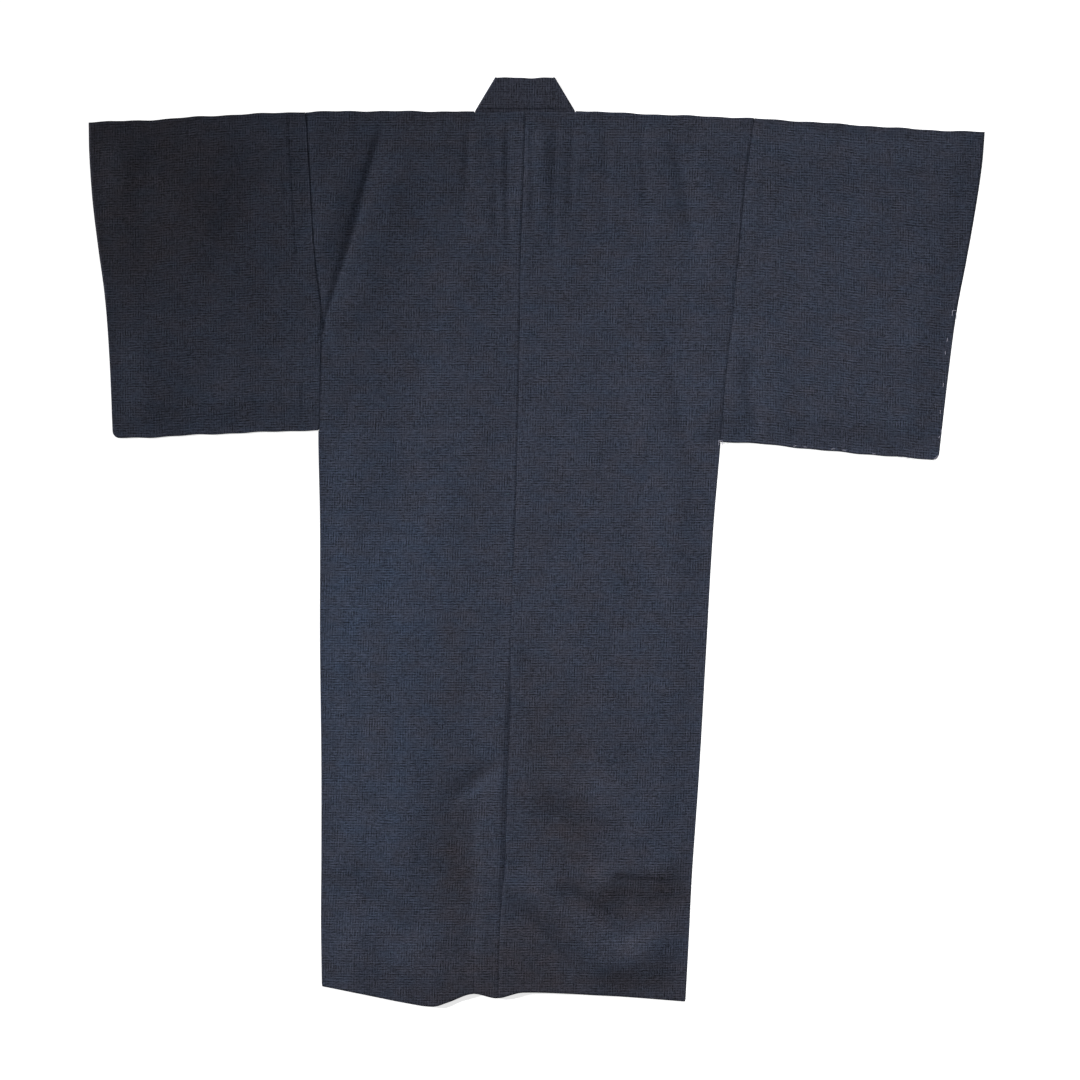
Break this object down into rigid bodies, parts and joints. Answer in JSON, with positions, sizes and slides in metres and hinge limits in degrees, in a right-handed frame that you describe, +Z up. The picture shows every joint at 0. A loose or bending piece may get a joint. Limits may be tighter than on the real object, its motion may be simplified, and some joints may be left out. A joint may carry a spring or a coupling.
{
  "type": "kimono",
  "caption": "Man's dark navy kimono laid flat on its front, back up, with wide square sleeves spread out and a folded band collar above the neck.",
  "frame": {"origin": "on the surface that the garment lies on, under the middle of its outline", "axes": "+Z up from the surface, +Y from the hem to the collar, +X towards the wearer's right sleeve as the back is seen from above"},
  "size_m": [1.341, 1.3902, 0.0146],
  "materials": {
    "body_cloth": "matt dark navy cloth with a fine uneven grid of paler slubs, slightly lustrous",
    "sleeve_cloth": "the same cloth as the body, a shade darker on the left sleeve",
    "collar_cloth": "the same cloth as the body, pressed flat in several layers",
    "tacking_thread": "soft pale loose thread"
  },
  "bodies": {
    "root": {"body_left": "body_cloth", "body_right": "body_cloth", "okumi_left": "body_cloth", "okumi_right": "body_cloth", "sleeve_left": "sleeve_cloth", "sleeve_right": "sleeve_cloth", "collar": "collar_cloth"}
  },
  "joints": []
}
